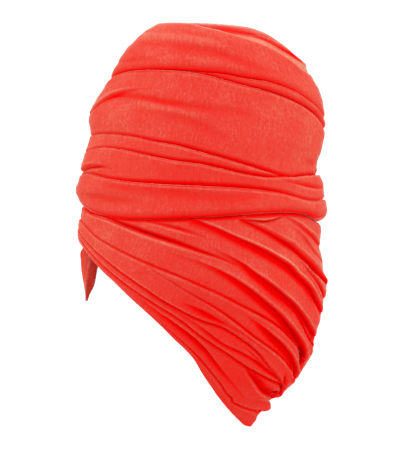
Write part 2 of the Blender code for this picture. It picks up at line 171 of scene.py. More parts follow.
# Fine wrinkles: their heights, and the ranges of chance that their waves are drawn from
CAP_WRINKLES = 0.16
TURN_WRINKLES = 0.17
DRAPE_WRINKLES = 0.2
WRINKLE_WAVES = 9
WRINKLE_LENGTHS = (4.5, 13.0)
WRINKLE_SLANTS = (-6, 7)
WRINKLE_WANDERS = (0.6, 1.8)
WRINKLE_BENDS = (2, 9)
WRINKLE_PATCHES = (3, 8)
WRINKLE_PATCH_LENGTH = 47.0
WRINKLE_LEAST = 0.35
ANY_PHASE = 6.3

# How far the folds of the wearer's right lie above or below the left's
FAR_SHIFT = 3.5
FAR_SHIFT_LENGTH = 130.0
FAR_SHIFT_SLANT = 0.6
FAR_SHIFT_FROM = 20.0
FAR_SHIFT_FADE = 45.0
FAR_SHIFT_DROP = 20.0
FAR_SHIFT_RUN = 40.0

# The outer form, a row for each level: the front, the back and half the width
Level = namedtuple("Level", "up front back half_width")
LEVELS = [Level(*row) for row in (
    (160.5, -28, -28, 0),
    (160.2, -33, -14, 11),
    (159.4, -36, 14, 23),
    (157.2, -38.8, 37.5, 35),
    (152, -47.6, 55, 47),
    (144, -57.6, 68.5, 57),
    (134, -67.5, 81, 64.5),
    (122, -74.5, 92, 70),
    (112, -78.5, 96.8, 73.5),
    (100, -87, 104, 77),
    (88, -94.5, 108, 79.5),
    (75, -98.5, 108.5, 81.5),
    (62, -96.8, 108.6, 82.5),
    (48, -101, 106.5, 83.5),
    (36, -104.2, 102.6, 84.5),
    (27, -105, 103.6, 85.2),
    (20.5, -107.6, 107.6, 85.6),
    (12, -109.8, 108.6, 86),
    (5, -106, 109.4, 86.1),
    (-3, -104.6, 109.6, 86),
    (-18, -107.4, 106.3, 85),
    (-26, -108.2, 106, 84.5),
    (-34, -106.5, 104.8, 84),
    (-50, -105, 107.5, 82),
    (-60, -103.4, 108.4, 80.5),
    (-66, -102, 111.4, 79.5),
    (-74, -99.4, 111.6, 78),
    (-82, -96, 109, 76),
    (-98, -88, 106.5, 71.5),
    (-114, -77, 101.5, 66),
    (-130, -63, 98.5, 59),
    (-144, -47, 90.5, 51),
    (-156, -29, 82.5, 42),
    (-165, -13, 73.2, 34),
    (-168.8, -5.5, 69.6, 30.5),
    (-171.4, -0.4, 61.4, 27.5),
    (-176, 8, 61.9, 23),
    (-180.6, 15, 60.2, 18.8),
    (-182.8, 17.6, 53.6, 16.8),
    (-185, 21, 51, 14.5),
    (-190, 28, 48.4, 10),
    (-195.4, 37, 44, 4),
)]

# The lines where turns meet, as (back, up) points seen from the wearer's left, from front to back
TURN_LINES = {
    "crown_rim": (
        (-34, 159), (-20, 158.6), (-9, 157.3), (2, 154.2), (13, 151.6), (24, 148.6), (42, 143), (53, 139.2),
        (64, 133.8), (75, 127.2), (82.4, 122.2), (90, 117), (95.5, 114.4),
    ),
    "upper_lower": (
        (-79, 110), (-73.4, 114.8), (-60, 117.3), (-40, 117.6), (0, 115), (20, 113.2), (40, 109.6),
        (60, 107), (80, 100.4), (100, 87.4), (108.3, 75.2),
    ),
    "fold_lower": (
        (-80, 122), (-20, 117), (0, 113.2), (10, 111.3), (20, 108.4), (40, 103.2), (60, 98.3), (80, 91.2),
        (100, 79.4), (108.6, 66),
    ),
    "main_lower": (
        (-96, 60.5), (-80, 61.7), (-60, 59.3), (-40, 54.8), (-20, 51), (0, 45.4), (20, 40), (40, 34.2),
        (60, 28.3), (77, 24.2), (90, 25.4), (102.5, 27),
    ),
    "brow_first": (
        (-101, 46.5), (-80, 49.7), (-60, 46.2), (-40, 41.5), (-20, 37.5), (0, 35), (20, 30.7), (40, 26.3),
        (60, 23.8), (75, 24.6), (103, 34),
    ),
    "brow_second": (
        (-104.5, 26.5), (-97, 27.4), (-85, 23.9), (-70, 21), (-40, 18), (0, 16), (40, 13.7), (60, 11.6),
        (73.7, 9.3), (83.5, 6.4), (93, 3.8), (100, 3.4), (108.3, 5.0),
    ),
    "brow_lower": (
        (-103, -0.5), (-94.7, -6.5), (-80, -10.2), (-50, -13), (-20, -12.6), (20, -10.7), (50, -8.5),
        (70, -7.6), (84, -8), (93.5, -9.8), (99, -12.2), (103.6, -14.6), (106.9, -15.4),
    ),
}

# The lines that guide the rows of the drape, from under the brow folds down to the hem
DRAPE_GUIDES = (
    ((-105, 0), (-50, -10), (0, -9), (36, -9.5), (60, -23.5), (85, -40), (107.5, -60)),
    ((-105, -1), (-50, -11.5), (-8, -11.5), (30, -30), (60, -47), (85, -70), (106, -94)),
    ((-105.5, -3), (-60, -21.5), (0, -43), (40, -58), (70, -81), (90, -103), (100, -113)),
    ((-106.5, -8), (-85, -33), (-50, -50), (0, -70.5), (50, -96), (80, -116.5), (94, -134)),
    ((-107, -11), (-85, -35), (-45, -53), (0, -82.5), (40, -109), (70, -133), (82, -156)),
    (
        (-107, -19), (-90, -41.5), (-70, -57.7), (-50, -71.7), (-30, -84.8), (0, -100), (20, -107),
        (40, -119.5), (60, -141), (72, -158), (64, -170),
    ),
    ((-107, -24), (-80, -56), (-40, -84), (0, -113), (38, -139), (53, -160), (60, -171.5)),
    ((-107, -28), (-80, -61), (-40, -97), (0, -135), (20, -160), (42, -180), (55, -180)),
    (
        (-106.5, -34), (-80, -64.5), (-60, -83.5), (-40, -101.4), (-20, -121), (-6, -135.5), (5, -154),
        (12, -164), (15.5, -168.8), (17.4, -171.4), (21.1, -176), (25, -180.6), (27, -182.8), (29.1, -185),
        (34.5, -190.5), (38.5, -194), (43.8, -195.3),
    ),
)

# The lines of single folds
FOLD_LINES = {
    "crown_pleat": (
        (-97, 80), (-93.5, 84.6), (-88, 89.4), (-80, 94.4), (-71, 97.6), (-62, 99.4), (-50, 100.6),
        (-40, 100.4),
    ),
    "brow_short": ((-104.5, 28.5), (-96.3, 32.4), (-86.5, 33), (-73.6, 31.4)),
    "brow_inner": ((64, 22.4), (80, 18.8), (92, 16.2), (100, 14.8), (107.5, 15.6)),
    "cap_first": ((50, 142.4), (56, 140.6), (68, 134.6), (79, 127.4), (90, 119.4)),
    "cap_middle": ((46, 145.4), (54, 143.2), (66, 137.6), (77, 130.8), (89, 121.4)),
    "cap_second": ((30, 149.6), (42, 148.2), (56, 145.8), (65, 141.8), (73, 137), (82, 130.4), (90, 123.4)),
    "sliver": ((30, -12.2), (46, -13.8), (58, -14), (64, -12.8), (70, -10.8), (76, -9)),
    "swag_first": ((74, -10.5), (85, -16.5), (94, -23.7), (101, -30.5), (105, -36)),
    "swag_soft": ((72, -14), (85.4, -23.5), (94, -33), (101, -42), (107, -52)),
    "swag_a": (
        (36, -13.4), (50.7, -20), (68, -29.5), (81, -37.3), (89.8, -45), (98.4, -53.4), (107, -62.5),
        (111, -70),
    ),
    "swag_a_rim": ((84, -46), (90, -51.5), (98.5, -61.5), (104, -69), (108, -78), (109, -82)),
    "swag_b": (
        (-6, -13), (10, -18.6), (30, -27.8), (50, -36.6), (70, -47.6), (80, -54.8), (90, -65), (97.5, -74),
        (103, -84), (106, -95),
    ),
    "swag_c_left": ((-50, -13.5), (-30, -18.4), (-10, -24), (0, -27.5), (12, -32)),
    "swag_c_crest": (
        (-2, -32), (10, -37), (20, -42), (40, -53.4), (50, -61), (60, -68), (70, -76), (80, -84.5),
        (90, -96.5), (97, -107.5), (100.5, -116),
    ),
    "swag_c": (
        (-97, -7), (-80, -12.7), (-60, -20.5), (-40, -27.5), (-20, -34), (0, -41), (20, -48), (40, -58),
    ),
    "swag_c_deep": (
        (52, -66), (60, -72), (70, -80), (80, -90), (85, -98), (90, -107), (94, -116), (97.5, -127),
    ),
    "swag_d": (
        (-24, -42), (0, -50), (20, -59), (40, -71.5), (60, -87.5), (77, -105), (88.3, -121), (91, -132.5),
    ),
    "swag_e": (
        (-105, -12), (-99, -20), (-90, -28.8), (-70, -40.2), (-40, -53.8), (-20, -61.7), (0, -70.5),
        (20, -79.7), (40, -90.2), (60, -101), (79, -117), (87.3, -130), (87, -139),
    ),
    "swag_e_crest": ((32, -90.5), (50, -103), (60, -111), (70, -120), (77, -128), (82.5, -138), (84.5, -149)),
    "swag_f": (
        (-46, -53), (-30, -64), (-10, -76.5), (10, -88), (30, -102), (50, -117.5), (70, -132.6),
        (79.8, -145), (82.6, -154.5),
    ),
    "swag_f_second": ((-4, -86), (20, -100.4), (40, -114), (60, -129), (74, -142)),
    "swag_g": ((-22, -82), (0, -91.5), (20, -102.5), (32, -109)),
    "gather_branch": ((-38, -80.5), (-20, -93), (0, -106), (20, -121), (40, -131), (60, -146), (71, -157)),
    "gather_fan": ((30, -116), (45, -129.5), (58, -143), (70, -156)),
    "lobe_line": (
        (-107.6, -24.5), (-95.5, -42), (-80, -56.8), (-60, -72.5), (-40, -85.6), (-20, -98), (0, -113.6),
        (20, -127), (37, -139), (47, -145.2), (61, -152.7), (71.4, -158.8),
    ),
    "hem_valley": (
        (-62, -73), (-40, -90.9), (-20, -104.5), (0, -121), (15, -139.6), (28.2, -155.5), (38, -168),
    ),
    "hem_roll": (
        (-48, -94), (-28, -108.5), (-10, -124.2), (6.6, -142.4), (17, -155.5), (26.3, -167.7), (39.5, -178),
        (49.3, -182.3),
    ),
    "lobe_rim": ((37, -139.5), (45, -151.8), (54.5, -164), (59.5, -171.5)),
}

# A crease: its line, its depth, how the cloth lies above and below it, and its strength from start to end.
# Cloth that rolls over stands out by height after reach and falls back over spread. Cloth that goes under
# rises again over run.
Roll = namedtuple("Roll", "height reach spread")
Under = namedtuple("Under", "run")
Crease = namedtuple("Crease", "line depth above below start middle end")
CREASES = [Crease(*row) for row in (
    ("upper_lower", 3.8, Roll(1.5, 7, 7), Roll(1.3, 4.6, 5), 0.7, 1, 0.45),
    ("fold_lower", 3.4, Roll(1.4, 5, 5), Roll(1, 3.4, 6), 0.6, 1, 0.9),
    ("main_lower", 3.2, Under(4.5), Roll(1, 2, 4), 0.3, 0.9, 0.8),
    ("brow_first", 3, Under(4), Roll(1, 2, 4), 0.25, 1, 0.8),
    ("brow_second", 3.2, Under(5), Roll(1.2, 2.4, 6), 0.4, 1, 0.5),
    ("brow_lower", 4, Roll(2, 8, 9), Under(4.2), 0.5, 1, 1.15),
    ("crown_pleat", 1.6, Roll(1.5, 2.4, 4), Under(6), 0.4, 1, 0),
    ("brow_short", 3.8, Roll(1.4, 4, 6), Roll(1, 3, 5), 0.8, 1.1, 0),
    ("brow_inner", 1.8, Under(5), Roll(0.8, 2, 3), 0, 1, 0.15),
    ("cap_first", 2.2, Roll(0.8, 1.1, 1.2), Roll(0.7, 1.1, 1.2), 0.2, 1, 0.8),
    ("cap_middle", 2, Roll(0.8, 1.1, 1.2), Roll(0.7, 1.1, 1.2), 0.2, 1, 0.8),
    ("cap_second", 1.6, Under(7), Roll(1.6, 1.2, 2), 0, 1, 1),
    ("sliver", 3, Roll(1.2, 1.2, 2.5), Under(2.6), 0.4, 1.1, 0.4),
    ("swag_first", 1.8, Roll(1.2, 2.8, 4), Under(5.5), 0.4, 1, 1),
    ("swag_soft", 1, Roll(0.8, 2.6, 4), Under(5), 0, 1, 0.6),
    ("swag_a", 3.8, Roll(2, 4, 4.5), Under(6.5), 0.6, 1, 1.3),
    ("swag_a_rim", 2.2, Roll(1.6, 1.6, 3), Under(5), 0.1, 1, 1),
    ("swag_b", 4.8, Roll(2, 2, 4.5), Under(11), 0.6, 1, 0.85),
    ("swag_c_left", 2, Under(3.2), Roll(1, 2.2, 4), 0.6, 1, 0),
    ("swag_c_crest", 4.8, Roll(1.7, 2, 4), Under(12), 0, 1, 0.85),
    ("swag_c", 4.6, Under(4.4), Roll(1.5, 2.6, 5), 0.6, 1.1, 0.2),
    ("swag_c_deep", 3.6, Under(6), Roll(1.6, 3.6, 4), 0, 1, 1),
    ("swag_d", 4.2, Roll(1.9, 2.8, 4.5), Under(9), 0.1, 1, 1.3),
    ("swag_e", 2.4, Under(2.8), Roll(1, 2, 5), 0.45, 0.8, 1.2),
    ("swag_e_crest", 4, Roll(1.8, 2, 3.6), Under(10), 0, 1, 0.95),
    ("swag_f", 2.1, Under(2.6), Roll(1.4, 1.6, 3.6), 0.3, 1, 1),
    ("swag_f_second", 1.2, Roll(0.4, 1, 1.5), Roll(0.6, 1, 3), 0, 1, 0.3),
    ("swag_g", 2.8, Roll(0.6, 3, 5), Under(7), 0, 1, 0.3),
    ("gather", 2.8, Roll(1.2, 2.2, 5), Under(3.2), 0.5, 0.9, 0.9),
    ("gather_branch", 2, Roll(0.9, 2.2, 4), Under(3.4), 0, 1, 1.2),
    ("gather_fan", 1.8, Roll(0.9, 2.2, 4), Under(3.8), 0, 1, 1.2),
    ("lobe_line", 2.4, Roll(1, 1.6, 3), Under(2.8), 0.5, 0.9, 1.2),
    ("hem_valley", 3.4, Roll(1.4, 2.8, 4), Under(6), 0.1, 1, 0.2),
    ("hem_roll", 2.4, Roll(0.8, 2.4, 4), Roll(1, 2.2, 5), 0.2, 0.9, 1.1),
    ("lobe_rim", 4.4, Under(9), Roll(1.8, 2.2, 5), 0.2, 1, 1),
    ("hem", 3.4, Roll(0.6, 3.4, 6), Under(3), 1, 0.8, 0.1),
)]

# Soft folds: low ridges that spread above and below a line, or hollows where the height is below 0
SoftFold = namedtuple("SoftFold", "height above below path")
SOFT_FOLDS = [SoftFold(*row) for row in (
    (-2.3, 2.6, 3, ((-84, 92.5), (-64, 95.4), (-49, 93.4), (-31, 89), (-10, 85.5))),
    (-1.4, 3.5, 4.5, ((-44, 92), (-14, 86.2), (7, 83), (33, 80), (54, 73))),
    (1.4, 3.5, 3.5, ((-60, 88), (-44, 85.8), (-18.6, 80.8), (-5, 78), (12, 74.5))),
    (-1.3, 3.5, 5, ((-48, 80), (-28, 78), (-12, 73), (1, 67.7), (11, 62.5), (29, 55))),
    (1, 3, 3, ((-56, 147.5), (-30, 146.5), (-8, 143.5))),
    (-0.9, 3, 3, ((-20, 151), (0, 147), (16, 143))),
    (1.2, 3, 4, ((-12, 144), (4, 141), (22, 136))),
    (-1.5, 3.5, 4.5, ((-58, 142), (-22, 139), (13, 132.5), (41, 121.5), (70, 114))),
    (0.8, 3, 3, ((-44, 127), (-14, 126.4), (14, 122.6), (36, 118))),
    (-1.3, 3, 3, ((-72, 125), (-50, 126.5), (-28, 125.5))),
    (-1.3, 3, 3, ((-104, 8.4), (-91, 6.8), (-76, 4), (-50, 1.4))),
    (-1.2, 2.5, 3, ((-84, 17), (-71, 14.8), (-40, 12), (-5, 10))),
    (-1.1, 4, 4, ((-30, 9), (10, 5.5), (50, 4))),
    (-1.6, 3, 3, ((90, 38.5), (96, 37), (101.5, 36))),
    (0.3, 4, 6, ((-20, -46), (20, -54), (50, -73), (76, -92))),
    (1.6, 1.8, 1.8, ((56, -167.5), (62, -163.6), (69.5, -160))),
    (0.9, 4, 3, ((26, -178), (35, -184), (46, -188))),
)]

# Pits where folds gather at the nape
Pit = namedtuple("Pit", "back up depth radius height")
PITS = (
    Pit(90.3, -132, 3.5, 1, 4.5),
    Pit(88, -140, 3, 1, 4),
    Pit(73.8, -154.5, 4, 1.3, 5),
    Pit(71.8, -161, 4.5, 1.9, 2),
    Pit(67, -164.6, 4, 2.8, 1.4),
    Pit(52.4, -181.2, 3, 2.4, 1.6),
)

# The loose end below the brow on the wearer's right: its two edges and the crease between them
EndRow = namedtuple("EndRow", "up front_edge crease back_edge front_out crease_out back_out")
LOOSE_END = [EndRow(*row) for row in (
    (-32, -101.6, -97, -91, 8.5, 5.5, 10.5),
    (-36, -102.9, -97.5, -90.5, 8.5, 5.5, 10.5),
    (-42, -106, -98, -90, 8.5, 5, 10.5),
    (-49, -105.6, -97.5, -89.8, 8.5, 4.8, 10.5),
    (-57, -105.2, -99, -91.8, 8.5, 4.8, 10.5),
    (-65, -103.8, -100.6, -92.8, 8.5, 5.2, 10),
    (-72, -102.4, -101, -94.6, 9, 4, 12),
    (-78.5, -101.8, -101, -98, 9, 5.5, 11),
    (-84.5, -101.6, -100.9, -100, 9.5, 7.5, 10.5),
)]
LOOSE_END_WALL = 1.4
LOOSE_END_INWARD = (-0.95, 0.3, 0.0)
LOOSE_END_BOW = 0.7
LOOSE_END_PAINTED_HIGHLIGHT = 0.4
LOOSE_END_CREST = 0.12
LOOSE_END_ROWS = 64
LOOSE_END_INNER_STEP = 3
PANEL_COLUMNS = 10

# A turn wound over the cap: its top line or the lower of two, its bottom line, the folds within it, the seed
# of its wrinkles, the space between its rows and how proud its rim stands. A crescent lies at the back or the
# front, with its tip between two turn angles.
Turn = namedtuple("Turn", "node top bottom folds seed step rim span tip_between", defaults=(0, "ring", None))
TURNS = [Turn(*row) for row in (
    ("upper_turn", ("crown_rim",), "upper_lower", (), 21, 1.0, RIM_PROUD),
    ("crown_fold", ("upper_lower",), "fold_lower", (), 22, 0.6, 0, "back", (1.2, 2.4)),
    ("main_turn", ("upper_lower", "fold_lower"), "main_lower", ("crown_pleat",), 23, 1.0),
    ("brow_fold_upper", ("main_lower",), "brow_first", (), 24, 0.6, 0, "front", (1.8, 2.5)),
    ("brow_fold_middle", ("main_lower", "brow_first"), "brow_second", ("brow_short", "brow_inner"), 25, 0.6),
    ("brow_fold_lower", ("brow_second",), "brow_lower", (), 26, 0.7),
)]

# The creases of the drape and of the hem band. gather and hem run along guide lines of the drape.
SWAGS = tuple(name for name in FOLD_LINES if name.startswith("swag"))
DRAPE_CREASES = ("brow_lower", "sliver", *SWAGS, "gather", "gather_fan")
HEM_CREASES = (
    "gather", "gather_branch", "gather_fan", "lobe_line", "hem_valley", "hem_roll", "lobe_rim", "hem",
)
GUIDE_CREASES = {"gather": HEM_BAND_FROM, "hem": -1}

# The fields of a cut: how a piece is held, what it lies on, and the width and length it was cut to, in
# metres, and an area where the cut isn't a rectangle. No piece is given a cut here.
Cut = namedtuple("Cut", "held rests_on width length area", defaults=(None,))

# The jersey's colour along its painted shading, from painted shade in the deepest groove to a painted
# highlight on the lightest crest
SHADE_TO_HIGHLIGHT_COLOURS = (
    (0.0, (0.42, 0.0, 0.0)),
    (0.06, (0.66, 0.0, 0.0)),
    (0.12, (0.84, 0.0, 0.0)),
    (0.19, (0.91, 0.001, 0.001)),
    (0.27, (0.88, 0.008, 0.006)),
    (0.38, (0.8, 0.02, 0.015)),
    (0.5, (0.79, 0.034, 0.025)),
    (0.72, (0.82, 0.094, 0.068)),
    (1.0, (0.86, 0.25, 0.19)),
)
JERSEY_SURFACE = {
    "Roughness": 0.88,
    "Specular IOR Level": 0.0,
    "Sheen Weight": 0.6,
    "Sheen Roughness": 0.2,
    "Sheen Tint": (0.4, 0.78, 0.7, 1.0),
}

# The jersey's grain: its size round the head and down the cloth, in metres, and the detail of its noise
Grain = namedtuple("Grain", "across down detail roughness")
STREAKS = Grain(0.0017, 0.011, 3.0, 0.6)
SLUBS = Grain(0.002, 0.003, 2.0, 0.6)
PATCHES = Grain(0.03, 0.03, 2.0, 0.5)
NOISE_RANGE = (0.3, 0.7)
STREAK_TONE = 0.26
PATCH_TONE = 0.08
CALM_FOLDS = (-0.6, -0.1)  # the painted shade tones between which the grain fades out in a groove
CALM_SHARES = (0.25, 1.0)
BUMP_STRENGTH = 0.35
BUMP_DISTANCE = 0.0004

# The camera and the stage, in metres
CAMERA_PLACE = (4.0, 0.0066, -0.0286)
CAMERA_LENS = 393.3
CAMERA_SENSOR = 36.0
CAMERA_CLIP = (0.1, 30.0)
Lamp = namedtuple("Lamp", "name place size power colour")
LAMPS = (
    Lamp("top_light", (0.7, -0.2, 1.5), 0.7, 8.0, (0.05, 1.0, 1.0)),
    Lamp("front_light", (0.15, -1.3, 0.35), 0.8, 25.0, (0.05, 1.0, 0.8)),
    Lamp("back_light", (0.15, 1.3, 0.25), 0.8, 25.0, (0.05, 1.0, 0.8)),
)
FLOOR_HALF = 1.4
FLOOR_UP = -0.42
FLOOR_SURFACE = {"Base Color": (0.82, 0.82, 0.82, 1.0), "Roughness": 0.9}

# The studio dome: its brightness at eye level and above, the shares of it that are left straight in front and
# behind and below, and the heights of the direction between which it changes
DOME_LEVEL = 1.175
DOME_ABOVE = 1.2
DOME_SIDES = 0.78
DOME_BELOW = 0.8
DOME_RISE = (0.08, 0.9)
DOME_FALL = (-0.75, -0.08)
WHITE = (1.0, 1.0, 1.0, 1.0)


def hermite(x, xs, ys):
    """A smooth curve through the points (xs, ys), read at x. xs rises."""
    xs = np.asarray(xs, float)
    ys = np.asarray(ys, float)
    slopes = np.gradient(ys, xs)
    i = np.clip(np.searchsorted(xs, x) - 1, 0, len(xs) - 2)
    step = xs[i + 1] - xs[i]
    t = np.clip((x - xs[i]) / step, 0.0, 1.0)
    leaving = (1 + 2 * t) * (1 - t) ** 2
    leaving_slope = t * (1 - t) ** 2
    arriving = t * t * (3 - 2 * t)
    arriving_slope = t * t * (t - 1)
    start = leaving * ys[i] + leaving_slope * step * slopes[i]
    return start + arriving * ys[i + 1] + arriving_slope * step * slopes[i + 1]


def smoothstep(t):
    """0 up to 0, 1 from 1 on, and smooth between."""
    t = np.clip(t, 0.0, 1.0)
    return t * t * (3 - 2 * t)


def bell(away, spread):
    """1 at 0, falling off to both sides over spread."""
    return np.exp(-((away / spread) ** 2))


def sink(up):
    """The root of the drop below the crown, a measure of height that keeps the dome round."""
    return np.sqrt(np.maximum(CROWN_TOP - np.asarray(up, float), 0.0))


LEVEL_SINKS = sink([level.up for level in LEVELS])


def form_at(sunk):
    """The centre, half length and half width of the form at a sink."""
    front, back, width = (
        hermite(sunk, LEVEL_SINKS, [getattr(level, field) for level in LEVELS])
        for field in ("front", "back", "half_width")
    )
    return (front + back) / 2, (back - front) / 2, np.maximum(width, 0.0)


def form_point(turn, sunk):
    """A point of the outer form. Past pi, the turn goes on round the wearer's right."""
    centre, half_length, half_width = form_at(sunk)
    across = half_width * np.sin(turn)
    return np.stack([across, centre - half_length * np.cos(turn), CROWN_TOP - sunk * sunk], axis=-1)


def form_normal(turn, sunk):
    """The direction straight out of the form."""
    small = 1e-3
    sunk = np.maximum(sunk, NEAR_POLE)
    along = form_point(turn + small, sunk) - form_point(turn - small, sunk)
    down = form_point(turn, sunk + small) - form_point(turn, sunk - small)
    normal = np.cross(down, along)
    return normal / np.linalg.norm(normal, axis=-1, keepdims=True)


def lifted(turn, sunk, lift):
    """Points of the form moved out along its normal."""
    return form_point(turn, sunk) + form_normal(turn, sunk) * np.asarray(lift)[..., None]


def on_form(path):
    """The turns and sinks of side-view points (back, up)."""
    back, up = np.asarray(path, float).T
    sunk = sink(up)
    centre, half_length, _ = form_at(sunk)
    return np.arccos(np.clip((centre - back) / np.maximum(half_length, TINY), -1.0, 1.0)), sunk


def spline(path, steps=SPLINE_STEPS, snap=LINE_SNAP):
    """A smooth line on the form through side-view points, level where it crosses the front or the back. An
    end within snap of the middle is moved there."""
    turn, sunk = on_form(path)
    beyond = []
    for end, beside in ((0, 1), (-1, -2)):
        middle = round(turn[end] / math.pi) * math.pi
        at_middle = abs(turn[end] - middle) < snap
        if at_middle:
            turn[end] = middle
        mirrored = (2 * middle - turn[beside], sunk[beside])
        straight = (2 * turn[end] - turn[beside], 2 * sunk[end] - sunk[beside])
        beyond.append(mirrored if at_middle else straight)
    turns, sinks = np.vstack([beyond[0], np.stack([turn, sunk], axis=1), beyond[1]]).T
    lengths = np.maximum(np.linalg.norm(np.diff(form_point(turns, sinks), axis=0), axis=1), 1.0)
    at = np.concatenate([[0.0], np.cumsum(lengths)])
    t = np.linspace(at[1], at[-2], steps)
    return hermite(t, at, turns), hermite(t, at, sinks)


def lines_of_form():
    """Every crease's line as 3-D points."""
    lines = {name: form_point(*spline(path)) for name, path in {**TURN_LINES, **FOLD_LINES}.items()}
    for name, number in GUIDE_CREASES.items():
        lines[name] = form_point(*spline(DRAPE_GUIDES[number], snap=GUIDE_SNAP))
    return lines


LINES = lines_of_form()


def turn_up(name, turns):
    """The height of a line between turns, at each turn angle."""
    line_turns, line_sinks = spline(TURN_LINES[name])
    order = np.argsort(line_turns)
    return CROWN_TOP - np.interp(turns, line_turns[order], line_sinks[order]) ** 2


def distance_to(points, normals, line):
    """How far each point is from a line of points, above 0 on the lower side, and how far along it, 0 to 1.
    Points out of the line's reach are left at LINE_REACH."""
    lowest = line.min(axis=0) - LINE_REACH
    highest = line.max(axis=0) + LINE_REACH
    close = np.nonzero(((points > lowest) & (points < highest)).all(axis=1))[0]
    distance = np.full(len(points), LINE_REACH)
    along = np.zeros(len(points))
    starts = line[:-1]
    runs = line[1:] - line[:-1]
    lengths = np.maximum((runs**2).sum(axis=1), TINY)
    for part in np.array_split(close, len(close) // POINTS_AT_ONCE + 1):
        away = points[part][:, None, :] - starts[None, :, :]
        share = np.clip((away * runs).sum(axis=2) / lengths, 0.0, 1.0)
        gaps = away - share[..., None] * runs
        squares = (gaps**2).sum(axis=2)
        nearest = squares.argmin(axis=1)
        rows = np.arange(len(part))
        side = np.cross(runs[nearest], gaps[rows, nearest])
        sign = np.where((side * normals[part]).sum(axis=1) > 0, -1.0, 1.0)
        distance[part] = np.sqrt(squares[rows, nearest]) * sign
        along[part] = (nearest + share[rows, nearest]) / len(starts)
    return distance, along


def side_relief(side, depth, away):
    """The ridge, the groove and the painted highlight of the crest on one side of a crease, at a distance
    from it.
    """
    if isinstance(side, Under):
        return np.zeros_like(away), depth * (1 - smoothstep(away / side.run)), np.zeros_like(away)
    t = np.clip(away / side.reach, 0.0, 1.0)
    roll = (1 - (1 - t) ** 2) ** ROLL_POWER
    past = np.maximum(away - side.reach, 0.0)
    crisp = float(np.clip((CRISP_UNDER - side.reach) / CRISP_RUN, 0.0, 1.0)) * side.height / CREST_HEIGHT
    # A painted highlight along a crisp crest
    crest = CREST_PAINTED_HIGHLIGHT * crisp * bell(away - side.reach, CREST_WIDTH)
    return side.height * roll * bell(past, side.spread), depth * (1 - roll), crest


def strength_along(crease, along):
    """A crease's strength from its start over its middle to its end."""
    first = crease.start + (crease.middle - crease.start) * smoothstep(2 * along)
    second = crease.middle + (crease.end - crease.middle) * smoothstep(2 * along - 1)
    return np.where(along < 0.5, first, second)


def creases_at(points, normals, names):
    """The ridges, the grooves, the painted highlights on the crests and the painted shade in the cores of the
    named creases, at each point.
    """
    found = np.zeros((4, len(points)))
    for crease in CREASES:
        if crease.line not in names:
            continue
        distance, along = distance_to(points, normals, LINES[crease.line])
        strength = strength_along(crease, along)
        away = np.abs(distance) / (NARROWEST + (1 - NARROWEST) * strength)
        above = side_relief(crease.above, crease.depth, away)
        below = side_relief(crease.below, crease.depth, away)
        # Painted shade: a dark line along the crease's core
        core = min(1.0, crease.depth / CORE_DEPTH) * bell(away, CORE_WIDTH)
        found = np.maximum(found, strength * np.vstack([np.where(distance > 0, below, above), core]))
    return found


def soft_folds_at(points, normals):
    """How far the soft folds lift the cloth, at each point."""
    soft = np.zeros(len(points))
    for fold in SOFT_FOLDS:
        distance, along = distance_to(points, normals, form_point(*spline(fold.path, SOFT_STEPS)))
        spread = np.where(distance > 0, fold.below, fold.above)
        fade = np.sin(math.pi * np.clip(along, SOFT_END, 1 - SOFT_END)) ** SOFT_FADE
        soft += fold.height * fade * bell(distance, spread)
    return soft


def kept_relief(turn, up):
    """The share of a fold's relief that is left near the middle of the back and the front, below the brow."""
    back = BACK_SOFT + (1 - BACK_SOFT) * smoothstep((math.pi - turn) / BACK_SOFT_ANGLE)
    front = FRONT_SOFT + (1 - FRONT_SOFT) * smoothstep(turn / FRONT_SOFT_ANGLE)
    return 1 - (1 - back * front) * smoothstep((-up - MIDDLE_SOFT_BELOW) / MIDDLE_SOFT_RUN)


def relief(turn, sunk, names):
    """How far the named creases, the soft folds and the pits lift the cloth from the form, and the light and
    shade painted on it.
    """
    points = form_point(turn, sunk).reshape(-1, 3)
    normals = form_normal(turn, sunk).reshape(-1, 3)
    _, back, up = points.T
    ridges, grooves, crests, cores = creases_at(points, normals, names)
    soft = soft_folds_at(points, normals)
    # Painted highlights on crests and soft ridges, painted shade in grooves and soft hollows
    tone = crests + SOFT_FOLD_PAINTED_SHADING * soft - GROOVE_PAINTED_SHADE * np.clip(grooves / GROOVE_FULL, 0.0, 1.0) ** GROOVE_POWER
    # Painted shade over the brow folds, then the painted dark cores of the creases
    at_brow = bell(up - BROW_UP, BROW_SPREAD) * (1 - (back / BROW_LENGTH) ** 2)
    tone = np.maximum(tone - BROW_PAINTED_SHADE * at_brow, DEEPEST_FOLD) - CORE_PAINTED_SHADE * cores
    # Painted light, paler toward the crown
    tone += CROWN_PAINTED_LIGHT * smoothstep((up - CROWN_TONE_FROM) / CROWN_TONE_RUN)
    kept = kept_relief(np.ravel(turn), up)
    ridges = ridges * kept
    grooves = grooves * kept
    # Each pit is a deep groove with painted shade in it
    for pit in PITS:
        inside = bell(np.hypot((back - pit.back) / pit.radius, (up - pit.up) / pit.height), 1.0)
        grooves = np.maximum(grooves, pit.depth * inside)
        tone -= PIT_PAINTED_SHADE * inside
    lift = ridges + soft - grooves
    return lift.reshape(np.shape(turn)), np.clip(tone, -1.0, 1.0).reshape(np.shape(turn))


